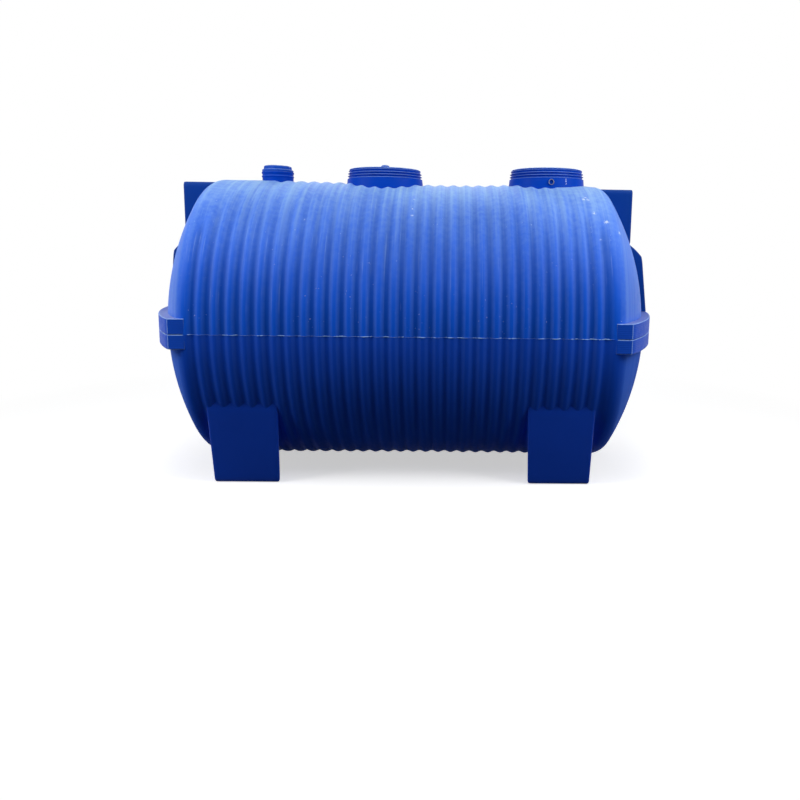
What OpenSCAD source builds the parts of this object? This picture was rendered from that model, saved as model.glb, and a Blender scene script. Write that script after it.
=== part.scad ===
// Horizontal septic tank, moulded in polyethylene as two halves joined on a level seam.
// X runs along the tank, Y across it and Z up. The origin is on the ground under its middle.

/* [Shell] */
// Length of the shell from the tip of one dished end to the other
shell_len = 1980; // [1800:10:2400]
// Diameter of the shell over the crests of the ribs
shell_d = 1162; // [1120:2:1200]
// Thickness of the moulded wall
wall = 8; // [6:0.5:10]
// Radius of the crown of a dished end
crown_r = 1000; // [900:10:1100]
// Radius of the knuckle between a dished end and the barrel
knuckle_r = 55; // [40:1:80]
// Clear height between the lowest rib and the ground
ground_gap = 19; // [10:1:60]

/* [Ribs] */
// Distance from one hoop rib to the next
rib_pitch = 53.5; // [45:0.5:60]
// Depth of the groove between two ribs
rib_depth = 10; // [5:0.5:14]
// Least width of the plain band between the ribs and a dished end
plain_band = 20; // [10:1:80]
// How far the row of ribs sits off the middle of the tank, towards the inlet
rib_shift = 5; // [0:1:25]

/* [Seam belts] */
// Height of a belt above the seam
belt_up = 58; // [40:1:90]
// Height of a belt below the seam
belt_down = 54; // [40:1:90]
// How far a belt stands out beyond the dished end
belt_out = 32; // [25:1:60]
// How far a belt stands proud of the side of the barrel
belt_proud = 2; // [1:0.5:6]

/* [Feet] */
// Width of a foot's face where it meets the shell
foot_w = 264; // [200:1:280]
// How much the inner side of the face draws in by the ground
foot_taper = 14; // [0:1:20]
// Distance along the barrel from its end to a foot
foot_end_gap = 40; // [20:1:80]
// How far the top of a foot's face is set in from the side of the shell
foot_setback = 76; // [60:1:100]
// How far the face of a foot leans in towards the ground
foot_lean = 65; // [20:1:100]
// Depth of a foot from its face to its back
foot_depth = 200; // [160:1:300]
// How much each side draws in from the face to the back
foot_draft = 48; // [20:1:80]
// Thickness of a foot's sole
sole = 12; // [8:1:20]

/* [Manholes] */
// Clear diameter of a manhole
manhole_d = 290; // [260:2:320]
// Thickness of a manhole neck's plain wall
neck_wall = 14; // [12:0.5:18]
// Height of the middle manhole's rim above the top of the shell
middle_rise = 55; // [48:1:80]
// Height of the right manhole's rim above the top of the shell
right_rise = 64; // [48:1:80]
// Place of the middle manhole along the tank
middle_x = -111; // [-150:1:100]
// Distance along the barrel from the right manhole's neck to the right end
right_gap = 34; // [8:1:100]
// Number of thread ridges round a manhole neck, with the top edge of its plain wall
thread_turns = 4; // [2:1:4]
// Pitch of the thread ridges
thread_pitch = 11; // [8:0.5:11]
// Depth of the thread
thread_depth = 6; // [3:0.5:7]
// Height of a lid's crown above the rim that it sits on
lid_rise = 8; // [6:0.5:14]
// Diameter of the knob on the middle lid
knob_d = 36; // [24:1:60]
// Height of the knob above the lid
knob_rise = 19; // [8:1:25]

/* [Small neck] */
// Clear diameter of the small neck
vent_d = 110; // [90:1:120]
// Thickness of the small neck's wall
vent_wall = 12; // [8:0.5:14]
// Height of the small neck's rim above the top of the shell
vent_rise = 44; // [36:1:60]
// Distance along the barrel from the left end to the middle of the small neck
vent_inset = 207; // [140:1:300]
// Height of the small cap above its rim
cap_rise = 27; // [15:1:35]

/* [Inlet and outlet] */
// Width of the moulded box round the inlet and the outlet
box_w = 200; // [170:2:240]
// How far a box's end face stops short of the tip of the dished end
box_setback = 54; // [40:1:60]
// Drop of a box's top below the top of the shell
box_drop = 15; // [10:1:30]
// Height of a box
box_h = 226; // [215:1:260]
// Outside diameter of the pipes that push into the seals
pipe_d = 110; // [75:5:110]
// Depth of the inlet's middle below the top of the shell
inlet_drop = 98; // [96:1:110]
// How much lower the outlet sits than the inlet
outlet_fall = 43; // [0:1:45]
// Thickness of a seal's rubber round the pipe
seal_wall = 7; // [5:0.5:9]
// How far a seal's lips reach over the face of the box
seal_lip = 8; // [5:0.5:9]

/* [End ribs] */
// How far the foot of the upright rib under a box is set back from the belt's outermost edge
end_rib_step = 12; // [8:1:20]
// How much the rib's face leans in from its foot to its slope
end_rib_lean = 20; // [10:1:30]
// Height below the box over which the rib slopes in to the box's end face
end_rib_slope = 50; // [30:1:80]

/* [Breather] */
// Outside diameter of the breather in the right neck
breather_d = 24; // [16:1:24]
// Bore of the breather
breather_bore = 12; // [6:1:12]
// How far the breather stands out from the neck
breather_out = 9; // [5:1:15]
// Height of the breather's middle above the top of the shell
breather_rise = 10; // [2:1:12]

/* [Hidden] */

round_fn = 96;          // fineness of every round form
fit = 0.3;              // clearance between pieces that slot together
cut = 5;                // how far a cutting tool runs past what it cuts
edge = 2;               // plain edge left beside a thread or a rim
spigot_h = 20;          // how deep a lid or a cap drops into its neck
lip_h = 6;              // thickness of a seal's lip

shell_r = shell_d / 2;
axis_z = shell_r + ground_gap;
top_z = axis_z + shell_r;

// Dished end: a crown whose edge turns into the barrel through a knuckle
crown_x = shell_len / 2 - crown_r;
knuckle_y = shell_r - knuckle_r;
knuckle_x = crown_x + sqrt(pow(crown_r - knuckle_r, 2) - pow(knuckle_y, 2));
crown_a = atan2(knuckle_y, knuckle_x - crown_x);
crown_steps = 10;
knuckle_steps = 6;

// Ribs: as many as fit between the plain bands, each an arc with sharp grooves between
rib_count = floor(2 * (knuckle_x - plain_band - rib_shift) / rib_pitch);
rib_start = -rib_shift - rib_count * rib_pitch / 2;
rib_steps = 6;
rib_arc_r = (pow(rib_pitch / 2, 2) + pow(rib_depth, 2)) / (2 * rib_depth);

// Feet
foot_in = knuckle_x - foot_end_gap - foot_w;
foot_face = shell_r - foot_setback;
foot_top_z = axis_z - sqrt(pow(shell_r, 2) - pow(foot_face, 2));

// Necks, lids and breather
neck_r = manhole_d / 2 + neck_wall;
right_x = knuckle_x - right_gap - neck_r;
middle_rim_z = top_z + middle_rise;
right_rim_z = top_z + right_rise;
thread_h = (thread_turns - 0.5) * thread_pitch;
spigot_r = manhole_d / 2 - fit;
lid_r = neck_r - thread_depth + edge;
vent_r = vent_d / 2 + vent_wall;
vent_rim_z = top_z + vent_rise;
vent_x = vent_inset - knuckle_x;
cap_r = vent_r - edge;
cap_grip_r = cap_r - 2 * edge;
breather_z = top_z + breather_rise;

// Boxes, the ribs under them, and seals
box_reach = shell_len / 2 - box_setback;
box_top_z = top_z - box_drop;
box_low_z = box_top_z - box_h;
rib_foot_x = shell_len / 2 + belt_out - end_rib_step;
rib_head_x = rib_foot_x - end_rib_lean;
inlet_z = top_z - inlet_drop;
outlet_z = inlet_z - outlet_fall;
seal_r = pipe_d / 2 + seal_wall;

// Radius of the ribbed barrel at a share t, from -1 to 1, across one rib
function rib_r(t) = shell_r - rib_arc_r + sqrt(pow(rib_arc_r, 2) - pow(t * rib_pitch / 2, 2));

// Outline of the barrel's side as [radius, place along the axis], set in by a depth
function barrel_line(inset) = concat(
    [[shell_r - inset, -knuckle_x], [shell_r - inset, rib_start - rib_depth / 2]],
    [for (i = [0 : rib_count - 1]) for (k = [0 : rib_steps])
        if (i == 0 || k > 0)
            [rib_r(2 * k / rib_steps - 1) - inset, rib_start + (i + k / rib_steps) * rib_pitch]],
    [[shell_r - inset, rib_start + rib_count * rib_pitch + rib_depth / 2],
     [shell_r - inset, knuckle_x]]);

// Outline of a dished end from its tip to the barrel, set in by a depth
function dish_line(inset) = concat(
    [for (k = [0 : crown_steps]) let (a = crown_a * k / crown_steps)
        [(crown_r - inset) * sin(a), crown_x + (crown_r - inset) * cos(a)]],
    [for (k = [1 : knuckle_steps]) let (a = crown_a + (90 - crown_a) * k / knuckle_steps)
        [knuckle_y + (knuckle_r - inset) * sin(a), knuckle_x + (knuckle_r - inset) * cos(a)]]);

function reversed(list) = [for (i = [len(list) - 1 : -1 : 0]) list[i]];

// Turns an outline round the tank's axis, over the upper half only
module half_turn(outline)
    translate([0, 0, axis_z]) rotate([90, 0, 90])
        rotate_extrude(angle = 180, $fn = round_fn) polygon(outline);

// Turns an outline all the way round the tank's axis
module full_turn(outline)
    translate([0, 0, axis_z]) rotate([90, 0, 90])
        rotate_extrude($fn = round_fn) polygon(outline);

// The children mirrored below the seam
module below_seam() translate([0, 0, axis_z]) mirror([0, 0, 1]) translate([0, 0, -axis_z]) children();

// The children mirrored to the left end
module at_left() mirror([1, 0, 0]) children();

// A solid that fills the dished end, to cut what sits against it
module dish_fill()
    full_turn(concat(dish_line(0), [[0, knuckle_x - cut]]));

module barrel_half() half_turn(concat(barrel_line(0), reversed(barrel_line(wall))));

module end_half() half_turn(concat(dish_line(0), reversed(dish_line(wall))));

// Barrel
module lower_barrel() color("royalblue") below_seam() barrel_half();

module upper_barrel() color("royalblue") difference() {
    barrel_half();
    for (x = [middle_x, right_x]) translate([x, 0, axis_z])
        cylinder(r = neck_r + fit, h = shell_d, $fn = round_fn);
    translate([vent_x, 0, axis_z]) cylinder(r = vent_r + fit, h = shell_d, $fn = round_fn);
}

// Dished ends, open behind the inlet and outlet boxes
module lower_end() color("royalblue") below_seam() end_half();

module upper_end() color("royalblue") difference() {
    end_half();
    box_hollow(knuckle_x - cut);
}

// Belt round one end: its side is flat, its end follows the dish and its underside is open
module belt_plan(inset) intersection() {
    translate([knuckle_x, -shell_r - belt_proud + inset])
        square([shell_len, 2 * (shell_r + belt_proud - inset)]);
    translate([crown_x, 0]) circle(r = crown_r + belt_out - inset, $fn = round_fn);
}

module belt(h) color("mediumblue") difference() {
    translate([0, 0, axis_z]) linear_extrude(h) belt_plan(0);
    translate([0, 0, axis_z - cut]) linear_extrude(h - wall + cut) belt_plan(wall);
    dish_fill();
}

// Foot at the front right: a hollow block that leans in and carries the ribs in a saddle.
// Its outlines from the end, the front and above, set in by a depth
module foot_side(inset) polygon([
    [-foot_face + inset, axis_z], [-foot_face + inset, foot_top_z],
    [-foot_face + foot_lean + inset, inset > 0 ? sole : 0],
    [-foot_face + foot_depth - inset, inset > 0 ? sole : 0],
    [-foot_face + foot_depth - inset, axis_z]]);

module foot_front(inset) polygon([
    [inset, foot_top_z], [inset, axis_z], [foot_w - inset, axis_z],
    [foot_w - inset, 0], [foot_taper + inset, 0]]);

module foot_plan(inset) polygon([
    [inset, -foot_face], [foot_w - inset, -foot_face],
    [foot_w - foot_draft - inset, foot_depth - foot_face],
    [foot_draft + inset, foot_depth - foot_face]]);

module foot_block(inset) translate([foot_in, 0, 0]) intersection() {
    rotate([90, 0, 90]) linear_extrude(foot_w) foot_side(inset);
    rotate([90, 0, 0]) linear_extrude(foot_face) foot_front(inset);
    linear_extrude(axis_z) foot_plan(inset);
}

module foot() color("navy") difference() {
    foot_block(0);
    foot_block(wall);
    translate([foot_in - cut, 0, axis_z]) rotate([0, 90, 0])
        cylinder(r = shell_r + fit, h = foot_w + 2 * cut, $fn = round_fn);
}

// Box round the inlet or outlet, whose end face holds the pipe seal
module box_hollow(from_x)
    translate([from_x, -box_w / 2 + wall, box_low_z + wall])
        cube([box_reach - wall - from_x, box_w - 2 * wall, box_h - 2 * wall]);

module pipe_box(pipe_z) color("mediumblue") difference() {
    translate([knuckle_x, -box_w / 2, box_low_z])
        cube([box_reach - knuckle_x, box_w, box_h]);
    box_hollow(knuckle_x - cut);
    dish_fill();
    translate([box_reach - wall - cut, 0, pipe_z]) rotate([0, 90, 0])
        cylinder(r = seal_r + fit, h = wall + 2 * cut, $fn = round_fn);
}

// Upright rib that stands on the belt and carries the box, hollow like them
module end_rib_plate(inset, w, past) rotate([90, 0, 0]) linear_extrude(w, center = true) polygon([
    [knuckle_x, box_low_z + past], [knuckle_x, axis_z + belt_up - past],
    [rib_foot_x - inset, axis_z + belt_up - past], [rib_head_x - inset, box_low_z - end_rib_slope],
    [box_reach - inset, box_low_z], [box_reach - inset, box_low_z + past]]);

module end_rib() color("mediumblue") difference() {
    end_rib_plate(0, box_w, 0);
    end_rib_plate(wall, box_w - 2 * wall, cut);
    dish_fill();
}

// Rubber seal with a lip on each side of the box's end face
module pipe_seal(pipe_z) color("dimgray") translate([box_reach - wall, 0, pipe_z])
    rotate([0, 90, 0]) difference() {
        union() {
            translate([0, 0, -lip_h]) cylinder(r = seal_r + seal_lip, h = lip_h, $fn = round_fn);
            cylinder(r = seal_r, h = wall, $fn = round_fn);
            translate([0, 0, wall]) cylinder(r = seal_r + seal_lip, h = lip_h, $fn = round_fn);
        }
        translate([0, 0, -lip_h - cut])
            cylinder(d = pipe_d, h = wall + 2 * (lip_h + cut), $fn = round_fn);
    }

// Manhole neck: a plain wall set in the shell, and a coarse thread up to the rim
module manhole_neck(rim_z) color("blue") difference() {
    rotate_extrude($fn = round_fn) polygon(concat(
        [[manhole_d / 2, axis_z], [neck_r, axis_z], [neck_r, rim_z - thread_h]],
        [for (i = [0 : thread_turns - 2]) each
            [[neck_r - thread_depth, rim_z - thread_h + (i + 0.25) * thread_pitch],
             [neck_r - thread_depth, rim_z - thread_h + (i + 0.55) * thread_pitch],
             [neck_r - edge / 2, rim_z - thread_h + (i + 0.8) * thread_pitch],
             [neck_r - edge / 2, rim_z - thread_h + (i + 1) * thread_pitch]]],
        [[neck_r - thread_depth, rim_z - edge], [neck_r - thread_depth, rim_z],
         [manhole_d / 2, rim_z]]));
    neck_saddle(neck_r);
}

// Cuts the foot of a neck level with the inside of the shell
module neck_saddle(r)
    translate([-r - cut, 0, axis_z]) rotate([0, 90, 0])
        cylinder(r = shell_r - rib_depth - wall, h = 2 * (r + cut), $fn = round_fn);

// Lid: a low crown with a rolled edge, and a spigot that drops into the neck
module manhole_lid(rim_z) color("blue") rotate_extrude($fn = round_fn) polygon([
    [0, rim_z], [spigot_r - neck_wall / 2, rim_z], [spigot_r - neck_wall / 2, rim_z - spigot_h],
    [spigot_r, rim_z - spigot_h], [spigot_r, rim_z], [lid_r, rim_z],
    [lid_r, rim_z + lid_rise * 0.3], [lid_r - lid_rise * 0.7, rim_z + lid_rise * 0.75],
    [lid_r - lid_rise * 2, rim_z + lid_rise], [0, rim_z + lid_rise]]);

// Knob in the middle of a lid
module lid_knob(rim_z) color("blue") translate([0, 0, rim_z + lid_rise])
    rotate_extrude($fn = round_fn) polygon([
        [0, 0], [knob_d * 0.4, 0], [knob_d * 0.4, knob_rise * 0.4], [knob_d / 2, knob_rise * 0.55],
        [knob_d / 2, knob_rise * 0.85], [knob_d * 0.42, knob_rise], [0, knob_rise]]);

// Small neck and its screw cap
module vent_neck() color("blue") difference() {
    translate([0, 0, axis_z]) cylinder(r = vent_r, h = vent_rim_z - axis_z, $fn = round_fn);
    translate([0, 0, axis_z - cut])
        cylinder(d = vent_d, h = vent_rim_z - axis_z + 2 * cut, $fn = round_fn);
    neck_saddle(vent_r);
}

module screw_cap() color("blue") rotate_extrude($fn = round_fn) polygon([
    [0, vent_rim_z], [vent_d / 2 - vent_wall / 2, vent_rim_z],
    [vent_d / 2 - vent_wall / 2, vent_rim_z - spigot_h], [vent_d / 2 - fit, vent_rim_z - spigot_h],
    [vent_d / 2 - fit, vent_rim_z], [cap_r, vent_rim_z], [cap_r, vent_rim_z + cap_rise * 0.3],
    [cap_grip_r, vent_rim_z + cap_rise * 0.4], [cap_grip_r, vent_rim_z + cap_rise * 0.8],
    [cap_grip_r - 3 * edge, vent_rim_z + cap_rise], [0, vent_rim_z + cap_rise]]);

// Breather: a short metal tube through the front of the right neck
module breather() color("silver") translate([right_x, -manhole_d / 2 - edge, breather_z])
    rotate([90, 0, 0]) difference() {
        cylinder(d = breather_d, h = neck_wall + breather_out, $fn = round_fn);
        translate([0, 0, -cut])
            cylinder(d = breather_bore, h = neck_wall + breather_out + 2 * cut, $fn = round_fn);
    }

// The right neck is drilled for the breather
module right_neck() difference() {
    translate([right_x, 0, 0]) manhole_neck(right_rim_z);
    translate([right_x, 0, breather_z]) rotate([90, 0, 0])
        cylinder(d = breather_d + 2 * fit, h = neck_r + cut, $fn = round_fn);
}

lower_barrel();
upper_barrel();
at_left() lower_end();  // left_lower_end
at_left() upper_end();  // left_upper_end
lower_end();  // right_lower_end
upper_end();  // right_upper_end
at_left() below_seam() belt(belt_down);  // left_lower_belt
at_left() belt(belt_up);  // left_upper_belt
below_seam() belt(belt_down);  // right_lower_belt
belt(belt_up);  // right_upper_belt
at_left() foot();  // front_left_foot
foot();  // front_right_foot
mirror([0, 1, 0]) at_left() foot();  // rear_left_foot
mirror([0, 1, 0]) foot();  // rear_right_foot
at_left() pipe_box(inlet_z);  // inlet_box
pipe_box(outlet_z);  // outlet_box
at_left() end_rib();  // left_end_rib
end_rib();  // right_end_rib
at_left() pipe_seal(inlet_z);  // inlet_seal
pipe_seal(outlet_z);  // outlet_seal
translate([middle_x, 0, 0]) manhole_neck(middle_rim_z);  // middle_neck
right_neck();
translate([vent_x, 0, 0]) vent_neck();  // small_neck
translate([middle_x, 0, 0]) manhole_lid(middle_rim_z);  // middle_lid
translate([right_x, 0, 0]) manhole_lid(right_rim_z);  // right_lid
translate([middle_x, 0, 0]) lid_knob(middle_rim_z);  // middle_knob
translate([vent_x, 0, 0]) screw_cap();  // small_cap
breather();
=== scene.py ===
import bpy, bmesh, math
import numpy as np
from mathutils import Matrix, Vector, noise


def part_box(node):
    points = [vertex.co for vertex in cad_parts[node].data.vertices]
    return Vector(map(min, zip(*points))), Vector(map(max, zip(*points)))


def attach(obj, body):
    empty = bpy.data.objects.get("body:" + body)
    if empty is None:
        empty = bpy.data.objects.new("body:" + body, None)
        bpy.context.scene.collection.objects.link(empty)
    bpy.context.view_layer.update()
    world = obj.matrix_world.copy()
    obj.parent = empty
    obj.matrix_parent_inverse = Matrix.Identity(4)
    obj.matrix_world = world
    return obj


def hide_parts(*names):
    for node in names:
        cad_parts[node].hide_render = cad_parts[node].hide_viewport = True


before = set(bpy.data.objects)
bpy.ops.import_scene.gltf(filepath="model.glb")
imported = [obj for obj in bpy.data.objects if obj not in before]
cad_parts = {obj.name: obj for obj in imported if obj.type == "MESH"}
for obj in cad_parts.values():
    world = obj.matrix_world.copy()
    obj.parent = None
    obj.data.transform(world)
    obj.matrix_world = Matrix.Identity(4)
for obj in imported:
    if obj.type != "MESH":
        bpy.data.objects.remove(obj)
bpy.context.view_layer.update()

# --- Camera ---------------------------------------------------------------
# It stands about two and a half metres in front of the tank, a little below
# its top and to the right of the middle, and looks slightly down.
camera_data = bpy.data.cameras.new("camera")
camera_data.sensor_width = 36
camera_data.lens = 31.83
camera_data.shift_x = -0.0819
camera_data.shift_y = -0.0669
camera = bpy.data.objects.new("camera", camera_data)
bpy.context.scene.collection.objects.link(camera)
camera.matrix_world = (Matrix.Translation((0.1695, -3.1163, 0.9545))
                       @ Matrix.Rotation(math.radians(-1.379), 4, "Z")
                       @ Matrix.Rotation(math.radians(81.37), 4, "X")
                       @ Matrix.Rotation(math.radians(0.857), 4, "Z"))
bpy.context.scene.camera = camera
bpy.context.scene.view_settings.view_transform = "Standard"

# --- Studio ---------------------------------------------------------------
# Wide soft lamps above the front and at both ends, weak ones low at the ends
# and one behind, as under a bright sky; the floor is white outside the shadow.
def seen_rays(tree):
    """1 for camera, glossy and transmission rays, 0 for the light that falls on the tank."""
    path = tree.nodes.new("ShaderNodeLightPath")
    seen_by = path.outputs["Is Camera Ray"]
    for ray in ("Is Glossy Ray", "Is Transmission Ray"):
        either = tree.nodes.new("ShaderNodeMath")
        either.operation = "MAXIMUM"
        tree.links.new(seen_by, either.inputs[0])
        tree.links.new(path.outputs[ray], either.inputs[1])
        seen_by = either.outputs[0]
    return seen_by


world = bpy.data.worlds.new("studio")
bpy.context.scene.world = world
world.use_nodes = True
wt = world.node_tree
wt.nodes.clear()
world_out = wt.nodes.new("ShaderNodeOutputWorld")
seen = wt.nodes.new("ShaderNodeBackground")
seen.inputs["Color"].default_value = (1, 1, 1, 1)
seen.inputs["Strength"].default_value = 1.0
fill = wt.nodes.new("ShaderNodeBackground")
fill.inputs["Color"].default_value = (0.86, 0.92, 1.0, 1)
fill.inputs["Strength"].default_value = 0.035
world_mix = wt.nodes.new("ShaderNodeMixShader")
wt.links.new(seen_rays(wt), world_mix.inputs[0])
wt.links.new(fill.outputs[0], world_mix.inputs[1])
wt.links.new(seen.outputs[0], world_mix.inputs[2])
wt.links.new(world_mix.outputs[0], world_out.inputs["Surface"])


def lamp(name, place, aim, size, power):
    """A square soft lamp that faces a point; it isn't seen itself."""
    data = bpy.data.lights.new(name, "AREA")
    data.shape = "SQUARE"
    data.size = size
    data.energy = power
    light = bpy.data.objects.new(name, data)
    bpy.context.scene.collection.objects.link(light)
    light.location = place
    light.visible_camera = False
    light.rotation_euler = (Vector(aim) - Vector(place)).to_track_quat("-Z", "Y").to_euler()


lamp("sky", (0.0, -1.08, 2.75), (0, 0, 0.6), 2.0, 27)
lamp("left", (-1.9, -1.1, 1.8), (0, 0, 0.6), 1.2, 24)
lamp("right", (1.9, -1.1, 1.8), (0, 0, 0.6), 1.2, 24)
lamp("low_left", (-2.3, -1.2, 0.45), (-0.6, 0, 0.4), 1.0, 4.5)
lamp("low_right", (2.3, -1.2, 0.45), (0.6, 0, 0.4), 1.0, 3.5)
lamp("rear", (0.0, 3.4, 3.2), (0, 0, 0.6), 3.0, 75)

floor_mesh = bpy.data.meshes.new("floor")
floor_mesh.from_pydata([(-30, -30, 0), (30, -30, 0), (30, 30, 0), (-30, 30, 0)], [], [(0, 1, 2, 3)])
floor = bpy.data.objects.new("floor", floor_mesh)
bpy.context.scene.collection.objects.link(floor)
floor_paint = bpy.data.materials.new("pale_floor")
floor_paint.use_nodes = True
ft = floor_paint.node_tree
ft.nodes.clear()
floor_out = ft.nodes.new("ShaderNodeOutputMaterial")
matt = ft.nodes.new("ShaderNodeBsdfDiffuse")
matt.inputs["Color"].default_value = (0.10, 0.10, 0.10, 1)
pale = ft.nodes.new("ShaderNodeBsdfDiffuse")
pale.inputs["Color"].default_value = (0.85, 0.85, 0.85, 1)
glow = ft.nodes.new("ShaderNodeEmission")
glow.inputs["Strength"].default_value = 0.55
lit_floor = ft.nodes.new("ShaderNodeAddShader")
white = ft.nodes.new("ShaderNodeEmission")
floor_place = ft.nodes.new("ShaderNodeTexCoord")
far = ft.nodes.new("ShaderNodeVectorMath")
far.operation = "LENGTH"
fade = ft.nodes.new("ShaderNodeMapRange")
fade.inputs["From Min"].default_value = 1.3
fade.inputs["From Max"].default_value = 2.6
edge_mix = ft.nodes.new("ShaderNodeMixShader")
seen_mix = ft.nodes.new("ShaderNodeMixShader")
ft.links.new(floor_place.outputs["Object"], far.inputs[0])
ft.links.new(far.outputs["Value"], fade.inputs["Value"])
ft.links.new(pale.outputs[0], lit_floor.inputs[0])
ft.links.new(glow.outputs[0], lit_floor.inputs[1])
ft.links.new(fade.outputs["Result"], edge_mix.inputs[0])
ft.links.new(lit_floor.outputs[0], edge_mix.inputs[1])
ft.links.new(white.outputs[0], edge_mix.inputs[2])
ft.links.new(seen_rays(ft), seen_mix.inputs[0])
ft.links.new(matt.outputs[0], seen_mix.inputs[1])
ft.links.new(edge_mix.outputs[0], seen_mix.inputs[2])
ft.links.new(seen_mix.outputs[0], floor_out.inputs["Surface"])
floor.data.materials.append(floor_paint)

# --- Half shells ----------------------------------------------------------
# The body is rotomoulded in two halves, each a ribbed half barrel with half
# of both dished ends, and the halves are welded on the level seam. Each
# groove between two ribs is narrow; the outermost die out towards the top.
lo_b, hi_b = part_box("upper_barrel")
BARREL_END = hi_b.x                      # where the knuckle starts
SHELL_R = hi_b.y
AXIS_Z = lo_b.z
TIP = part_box("right_upper_end")[1].x
WALL = 0.008
CROWN_R = 1.000
KNUCKLE_R = 0.055
CROWN_X = TIP - CROWN_R
KNUCKLE_Y = SHELL_R - KNUCKLE_R
CROWN_A = math.atan2(KNUCKLE_Y, BARREL_END - CROWN_X)
RIB_PITCH = 0.0535
RIB_COUNT = 28
RIB_DEPTH = 0.010
RIB_MID = -0.005                         # the row of ribs sits a little towards the inlet
LOW_BAND = 0.8 * RIB_DEPTH               # how far the plain end bands lie below the crests
LOW_DISH_OUT = 0.009                     # how far the lower dished ends stand out past the upper


def skin(name, rows, loop_rows=False, close_ends=False, sharp=38):
    """A smooth mesh through rows of points; the points of a row may close into a loop."""
    rows = np.asarray(rows, float)
    n, m = rows.shape[:2]
    faces = []
    for i in range(n - 1):
        for j in range(m if loop_rows else m - 1):
            k = (j + 1) % m
            faces.append((i * m + j, i * m + k, (i + 1) * m + k, (i + 1) * m + j))
    if close_ends:
        faces.append(tuple(range(m)))
        faces.append(tuple((n - 1) * m + j for j in range(m - 1, -1, -1)))
    mesh = bpy.data.meshes.new(name)
    mesh.from_pydata(rows.reshape(-1, 3).tolist(), [], faces)
    b = bmesh.new()
    b.from_mesh(mesh)
    bmesh.ops.remove_doubles(b, verts=b.verts, dist=1e-6)
    bmesh.ops.recalc_face_normals(b, faces=b.faces)
    b.to_mesh(mesh)
    b.free()
    piece = bpy.data.objects.new(name, mesh)
    bpy.context.scene.collection.objects.link(piece)
    soften(piece, sharp)
    return piece


def soften(piece, sharp=38):
    """Smooth shading, but for edges sharper than an angle in degrees."""
    piece.data.shade_smooth()
    piece.data.set_sharp_from_angle(angle=math.radians(sharp))


def carve(piece, cutters, sharp=38):
    """Cuts the closed cutters out of a piece and removes them."""
    for cutter in cutters:
        m = piece.modifiers.new("cut", "BOOLEAN")
        m.operation = "DIFFERENCE"
        m.solver = "EXACT"
        m.object = cutter
    dep = bpy.context.evaluated_depsgraph_get()
    cut = bpy.data.meshes.new_from_object(piece.evaluated_get(dep))
    piece.modifiers.clear()
    piece.data = cut
    for cutter in cutters:
        bpy.data.objects.remove(cutter)
    soften(piece, sharp)


def drum(name, radius, low, high, x=0.0, y=0.0, n=96, axis="z"):
    """A closed round cutter along an axis, from low to high."""
    rows = []
    for h in (low, high):
        ring = []
        for k in range(n):
            a = 2 * math.pi * k / n
            u, v = radius * math.cos(a), radius * math.sin(a)
            ring.append((x + u, y + v, h) if axis == "z" else (h, x + u, y + v))
        rows.append(ring)
    return skin(name, rows, loop_rows=True, close_ends=True)


def block(name, low, high):
    """A closed square cutter between two corners."""
    (x0, y0, z0), (x1, y1, z1) = low, high
    return skin(name, [[(x, y0, z0), (x, y1, z0), (x, y1, z1), (x, y0, z1)] for x in (x0, x1)],
                loop_rows=True, close_ends=True)


def ease(t, a, b):
    """Rises smoothly from 0 at a to 1 at b, also where b is the lower."""
    t = np.clip((t - a) / (b - a), 0, 1)
    return t * t * (3 - 2 * t)


def dish_radius(x, inset):
    """Radius of a dished end at a distance along the axis from the middle of the tank."""
    knuckle = KNUCKLE_Y + np.sqrt(np.maximum((KNUCKLE_R - inset) ** 2 - (x - BARREL_END) ** 2, 0))
    crown = np.sqrt(np.maximum((CROWN_R - inset) ** 2 - (x - CROWN_X) ** 2, 0))
    change = CROWN_X + (CROWN_R - inset) * math.cos(CROWN_A)
    return np.where(x < change, knuckle, crown)


def dish_stations(inset):
    """Places along the axis for a dished end, from the barrel to the tip."""
    around = CROWN_A + (math.pi / 2 - CROWN_A) * np.linspace(1, 0, 10)[1:]
    out = (BARREL_END + (KNUCKLE_R - inset) * np.cos(around)).tolist()
    crown = CROWN_A * np.linspace(1, 0, 34)[1:]
    return np.array(out + (CROWN_X + (CROWN_R - inset) * np.cos(crown)).tolist())


def rib_dip(s):
    """Depth below the crest at a share from -1 to 1 across a rib, with rounded grooves."""
    return 0.9 * RIB_DEPTH * (0.5 - 0.5 * math.cos(math.pi * s)) ** 0.95


def band_dip(x):
    """The plain band at each end of the ribs lies low, and rises to the dished end."""
    return LOW_BAND * (1 - ease(np.abs(x), BARREL_END - 0.026, BARREL_END + 0.008))


def groove_fade(j, rise, side):
    """Share of its depth that groove j keeps at an angle from the seam, on the upper or lower half."""
    if side < 0:
        return 1 - 0.18 * np.sin(rise)
    end = min(j, RIB_COUNT - j)
    start = {0: 36, 1: 46, 2: 56, 3: 66}.get(end)
    full = 1 - 0.30 * ease(rise, math.radians(45), math.radians(80))
    return full if start is None else full * (1 - ease(rise, math.radians(start), math.radians(start + 18)))


def lift(x, rise):
    """How far the upper half has risen towards its ends, where the middle has sagged."""
    at = np.interp(x, (-0.8, -0.5, -0.3, -0.1, 0.1, 0.22, 0.38, 0.60, 0.70, 0.76, 0.85),
                   (0.009, 0.009, 0.006, 0.004, 0.001, 0.001, 0.005, 0.014, 0.010, 0.005, 0.0))
    return at * np.sin(rise) ** 2


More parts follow.
